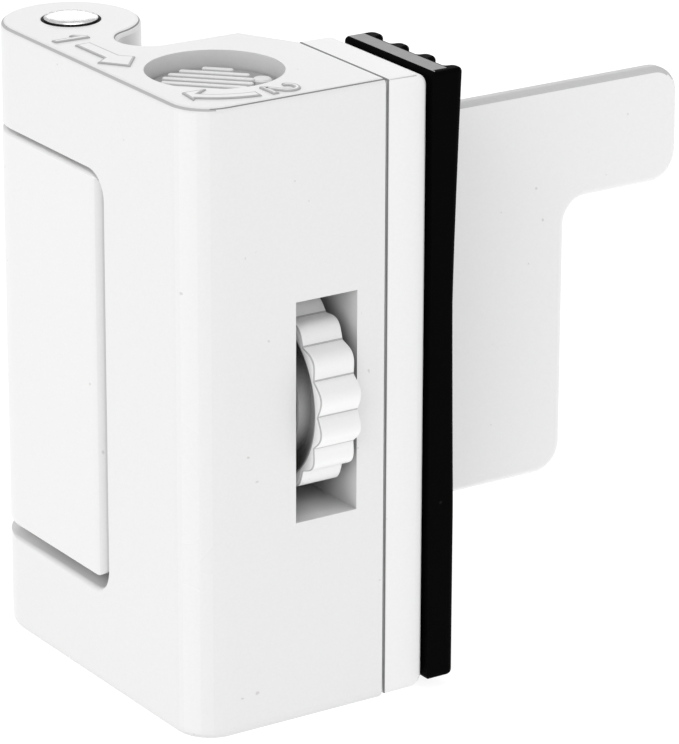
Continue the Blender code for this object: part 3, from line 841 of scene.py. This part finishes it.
def make_wheel():
    """The thumbwheel: round lobes that meet in narrow grooves, dished faces and a hub."""
    lobes, steps, depth, outer = 16, 22, 1.0, 12.2
    front, rear = 6.9, 12.7
    bore_r, hub_r, dish_r, dish_depth = 4.25, 8.0, 10.5, 1.2
    hub_front, hub_rear = WHEEL_LOW.y, WHEEL_HIGH.y
    rim_edge = 0.15

    def scalloped(radius, angle):
        if radius < 11:
            return radius
        across = 2 * ((angle / (2 * math.pi) * lobes) % 1.0) - 1
        wave = (1 - math.cos(math.pi * across)) / 2
        return radius - depth * (wave + across ** 2) / 2

    def dish(edge, floor, hub):
        """Half of the profile, from the rim's shoulder to the hub."""
        step = 1 if floor > edge else -1
        slope = [(10.75, 0.0), (10.5, 0.1), (10.1, 0.32), (9.6, 0.65), (9.0, 0.97), (8.4, 1.17)]
        return ([(r, edge + drop * step) for r, drop in slope]
                + [(hub_r, floor), (hub_r, hub + 0.2 * step), (hub_r - 0.2, hub)])

    def wheel_shade(face):
        """Painted shade: the dish is darker, and the rim's front edge and the grooves between lobes
        are dark lines.
        """
        x, y, z = face.center / MM - Vector(WHEEL_AXLE)
        if math.hypot(x, z) < dish_r:
            return PLASTIC_DISH_SHADE
        across = (math.atan2(z, x) / (2 * math.pi) * lobes) % 1.0
        in_groove = across < 1 / steps and y > front + 0.01
        return PLASTIC_LINE_SHADE if in_groove or front + 0.01 < y < front + rim_edge else None

    rim = [(outer - rim_edge * (1 - math.sin(t)), front + rim_edge * (1 - math.cos(t)))
           for t in quarter_turn(3)]
    rim_back = [(r, front + rear - h) for r, h in rim]
    profile = ([(bore_r, hub_front), (bore_r, hub_rear)]
               + dish(rear, rear - dish_depth, hub_rear)[::-1] + rim_back + rim[::-1]
               + dish(front, front + dish_depth, hub_front))
    wheel = mesh_object(lathe(profile, WHEEL_AXLE, "Y", lobes * steps, scalloped), "wheel_moulding")
    with_materials(wheel, PLASTIC_WHEEL, PLASTIC_DISH_SHADE, PLASTIC_LINE_SHADE)
    paint(wheel, wheel_shade)
    dress(wheel, "wheel", "thumbwheel")


def block_edge_shade(face):
    """Painted shade: a dark line at the seam and a softer one along the top right edge."""
    if -0.98 < face.normal.y < -0.25:
        return WHITE_EDGE_SHADE
    top_right = face.normal.x > 0.2 and 0.5 < face.normal.z < 0.9 and face.normal.y < 0.1
    return WHITE_SOFT_EDGE_SHADE if top_right else None


def make_block():
    """White block: crisp at the seam, rounded where it meets the pad."""
    seam_r, pad_r = 0.25, 1.5
    side = rounded([(BLOCK_LOW.y, BLOCK_LOW.z, seam_r), (BLOCK_HIGH.y, BLOCK_LOW.z, pad_r),
                    (BLOCK_HIGH.y, BLOCK_HIGH.z, pad_r), (BLOCK_LOW.y, BLOCK_HIGH.z, seam_r)])
    share = [0.35 if min(y0, y1) < BLOCK_LOW.y + 0.26 else 1.0 for (y0, _), (y1, _) in edges(side)]
    piece = mesh_object(prism(side, BLOCK_LOW.x, BLOCK_HIGH.x, 0.4, 0.4, "X", share), "clamp_block")
    with_materials(piece, WHITE_BLOCK, WHITE_EDGE_SHADE, WHITE_SOFT_EDGE_SHADE)
    paint(piece, block_edge_shade)
    screw_hole, hexagon_seat = (2.75, 18, 22), (4.6, 21.0, 25)
    combine(piece, rod(*screw_hole, WHEEL_AXLE, "Y", 48))
    combine(piece, rod(*hexagon_seat, WHEEL_AXLE, "Y", 6))
    for node in GUIDE_RODS:
        combine(piece, rod(1.75, 18, cad_box(node)[1].y + 0.3, rod_axle(node), "Y", 32))
    dress(piece, "clamp", "pressure_block")


def pad_bulge(z):
    """How much thicker than its middle the pad is at a height, as a share of its thickness."""
    waist_z = 50
    if z > waist_z:
        return 0.27 * ((z - waist_z) / 30) ** 1.3
    return 0.12 * min(1.0, (waist_z - z) / 26) ** 1.2


def make_pad():
    """Black pad with four round ribs; its thickness varies a little over its height."""
    front, base, tip = PAD_LOW.y, 27.0, 28.05
    x0, x1 = PAD_LOW.x, PAD_HIGH.x
    ribs, width, flare, root_r, tip_r = 4, 2.0, 0.25, 0.2, 0.9
    pitch = (x1 - x0 - width) / (ribs - 1)
    corners = [(x0, front, 0), (x1, front, 0)]
    for i in reversed(range(ribs)):
        left = x0 + i * pitch
        right = left + width
        if i < ribs - 1:
            corners.append((right + flare, base, root_r))
        corners += [(right, tip, tip_r), (left, tip, tip_r)]
        if i:
            corners.append((left - flare, base, root_r))
    outline = rounded(corners, 6)
    share = []
    for (xa, ya), (xb, yb) in edges(outline):
        leftness = max(0.0, ya - yb) / math.hypot(xb - xa, yb - ya)
        share.append(1 - 0.8 * leftness ** 2 if max(xa, xb) < x0 + 1 else 1.0)
    fillet, count = 0.6, 40
    turns = quarter_turn(6)
    span = PAD_HIGH.z - PAD_LOW.z - 2 * fillet
    levels = [(PAD_LOW.z + fillet * (1 - math.cos(t)), 1 - math.sin(t)) for t in turns]
    levels += [(PAD_LOW.z + fillet + span * i / count, 0.0) for i in range(1, count)]
    levels += [(PAD_HIGH.z - fillet * (1 - math.sin(t)), 1 - math.cos(t)) for t in turns]
    rings = []
    for z, drop in levels:
        ring = []
        for x, y in inset(outline, 0.5 * drop, share):
            ring.append((x, front + (y - front) * (1 + pad_bulge(z)), z))
        rings.append(ring)
    bm = loft(rings)
    bm.normal_update()
    rib_line = front + (base - 0.5 - front) * (1 + pad_bulge(PAD_HIGH.z))
    right_line = x1 - 1.0
    for place_at, normal in (((0, rib_line, 0), (0, 1, 0)), ((right_line, 0, 0), (1, 0, 0))):
        cap = [face for face in bm.faces if all(v.co.z > PAD_HIGH.z - 1e-4 for v in face.verts)]
        cap_edges = dict.fromkeys(e for f in cap for e in f.edges)
        cap_verts = dict.fromkeys(v for f in cap for v in f.verts)
        bmesh.ops.bisect_plane(bm, geom=[*cap, *cap_edges, *cap_verts],
                               plane_co=place_at, plane_no=normal)

    def pale_top_coat(face):
        """The pad's flat top is paler, up to its ribs and short of its right side."""
        x, y, z = face.center / MM
        return RUBBER_PALE_TOP if z > PAD_HIGH.z - 0.01 and y < rib_line and x < right_line else None

    pad = with_materials(mesh_object(bm, "clamp_pad"), RUBBER, RUBBER_PALE_TOP)
    paint(pad, pale_top_coat)
    dress(pad, "clamp", "rubber_pad")


def strap_edge_shade(face):
    """Painted shade on the plate's edges, over a wider strip where they face up."""
    shaded = (face.normal.z > 0.3 and face.normal.x > -0.1) or abs(face.normal.x) < 0.5
    return WHITE_SOFT_EDGE_SHADE if shaded else None


def make_strap():
    """Flag-shaped plate with soft edges, four countersinks and a contact land."""
    step_y, step_z = 63.1, 50.4
    y0, y1, z0, z1 = STRAP_LOW.y, STRAP_HIGH.y, STRAP_LOW.z, STRAP_HIGH.z
    outline = rounded([(y0, z0, 1.0), (step_y, z0, 4.0), (step_y, step_z, 3.4), (y1, step_z, 4.0),
                       (y1, z1, 4.0), (y0, z1, 1.0)], 14)
    strap = mesh_object(prism(outline, STRAP_LOW.x, STRAP_HIGH.x, 0.9, 0.9, "X"), "strap_pressed")
    with_materials(strap, WHITE_BLOCK, WHITE_SOFT_EDGE_SHADE)
    paint(strap, strap_edge_shade)
    combine(strap, block((STRAP_HIGH.x - STRAP_LAND_HEIGHT, 0, 0),
                         (STRAP_HIGH.x + 1, STRAP_LAND_Y, TOP)))
    sink = [(0, 14.4), (3.1, 14.4), (3.1, 15.4), (1.6, 16.9), (1.6, 19.0), (0, 19.0)]
    for z in STRAP_SCREW_Z:
        combine(strap, lathe(sink, (0, STRAP_SCREW_Y, z), "X", 48))
    dress(strap, "body", "strap_plate")


def dress_cad_nodes():
    """Better surfaces for the CAD nodes that stay: soft edges and procedural materials."""
    finishes = {"bright_steel": STEEL, "brass": BRASS, "nylon": NYLON}
    record_slots = {s["node"]: s["material_slot"] for s in frame["record"]["subparts"]}
    for name, node in frame["nodes"].items():
        if node.hide_render:
            continue
        node.data.materials.clear()
        node.data.materials.append(finishes[record_slots[name]])
        node.data.shade_smooth()
        node.data.set_sharp_from_angle(angle=math.radians(35))
        step = node.modifiers.new("soft_edges", "BEVEL")
        step.width = 0.08 * MM
        step.segments = 2
        step.limit_method = "ANGLE"
        step.angle_limit = math.radians(45)


# ---------------------------------------------------------------- stage

def make_floor():
    mat = new_material("floor", gray(0.3), 0.9)
    n = Nodes(mat)
    n.shader.inputs["Emission Color"].default_value = (1, 1, 1, 1)
    n.shader.inputs["Emission Strength"].default_value = 0.85
    n.link(n.ramp(n.noise(2, 2), [(0.3, gray(0.3)), (0.7, gray(0.31))]),
           n.shader.inputs["Base Color"])
    bm = bmesh.new()
    bmesh.ops.create_grid(bm, x_segments=1, y_segments=1, size=4.0)
    mesh = bpy.data.meshes.new("floor")
    bm.to_mesh(mesh)
    bm.free()
    floor = bpy.data.objects.new("floor", mesh)
    floor.location.z = -0.05 * MM
    mesh.materials.append(mat)
    bpy.context.scene.collection.objects.link(floor)


def area_light(name, place_at, aim, size, power):
    light = bpy.data.lights.new(name, "AREA")
    light.shape = "RECTANGLE"
    light.size, light.size_y = size
    light.energy = power
    obj = bpy.data.objects.new(name, light)
    obj.location = place_at
    obj.rotation_euler = (Vector(aim) - Vector(place_at)).to_track_quat("-Z", "Y").to_euler()
    obj.visible_camera = False
    bpy.context.scene.collection.objects.link(obj)


def make_lights():
    world = bpy.data.worlds.new("studio")
    world.use_nodes = True
    background = world.node_tree.nodes["Background"]
    background.inputs["Color"].default_value = (1, 1, 1, 1)
    background.inputs["Strength"].default_value = 0.58
    bpy.context.scene.world = world
    middle = (0.02, 0.02, 0.04)
    area_light("key_corner", (0.58, -0.58, 0.52), middle, (0.3, 0.3), 0.95)
    area_light("fill_right", (0.8, 0.55, 0.35), middle, (0.6, 0.6), 0.35)
    area_light("top", (0.0, 0.1, 1.1), middle, (0.6, 0.6), 2.6)
    area_light("spark", (-0.4, -0.78, 0.52), middle, (0.12, 0.12), 1.0)
    area_light("glow_back", (-0.75, 0.5, 0.33), middle, (0.5, 0.3), 0.4)


def make_camera():
    data = bpy.data.cameras.new("camera")
    data.lens = CAMERA_LENS
    data.sensor_width = 36.0
    data.clip_start, data.clip_end = 0.01, 20.0
    camera = bpy.data.objects.new("camera", data)
    back = Vector((math.sin(CAMERA_AZIMUTH) * math.cos(CAMERA_ELEVATION),
                   -math.cos(CAMERA_AZIMUTH) * math.cos(CAMERA_ELEVATION),
                   math.sin(CAMERA_ELEVATION)))
    right = Vector((math.cos(CAMERA_AZIMUTH), math.sin(CAMERA_AZIMUTH), 0))
    up = back.cross(right)
    rolled_right = right * math.cos(CAMERA_ROLL) + up * math.sin(CAMERA_ROLL)
    rolled_up = back.cross(rolled_right)
    turn = Matrix((rolled_right, rolled_up, back)).transposed().to_4x4()
    camera.matrix_world = Matrix.Translation(CAMERA_PLACE) @ turn
    bpy.context.scene.collection.objects.link(camera)
    bpy.context.scene.camera = camera
    bpy.context.scene.view_settings.view_transform = "Standard"


make_housing()
make_lever()
make_pin()
make_button()
make_springs()
make_wheel()
make_block()
make_pad()
make_strap()
dress_cad_nodes()
make_floor()
make_lights()
make_camera()
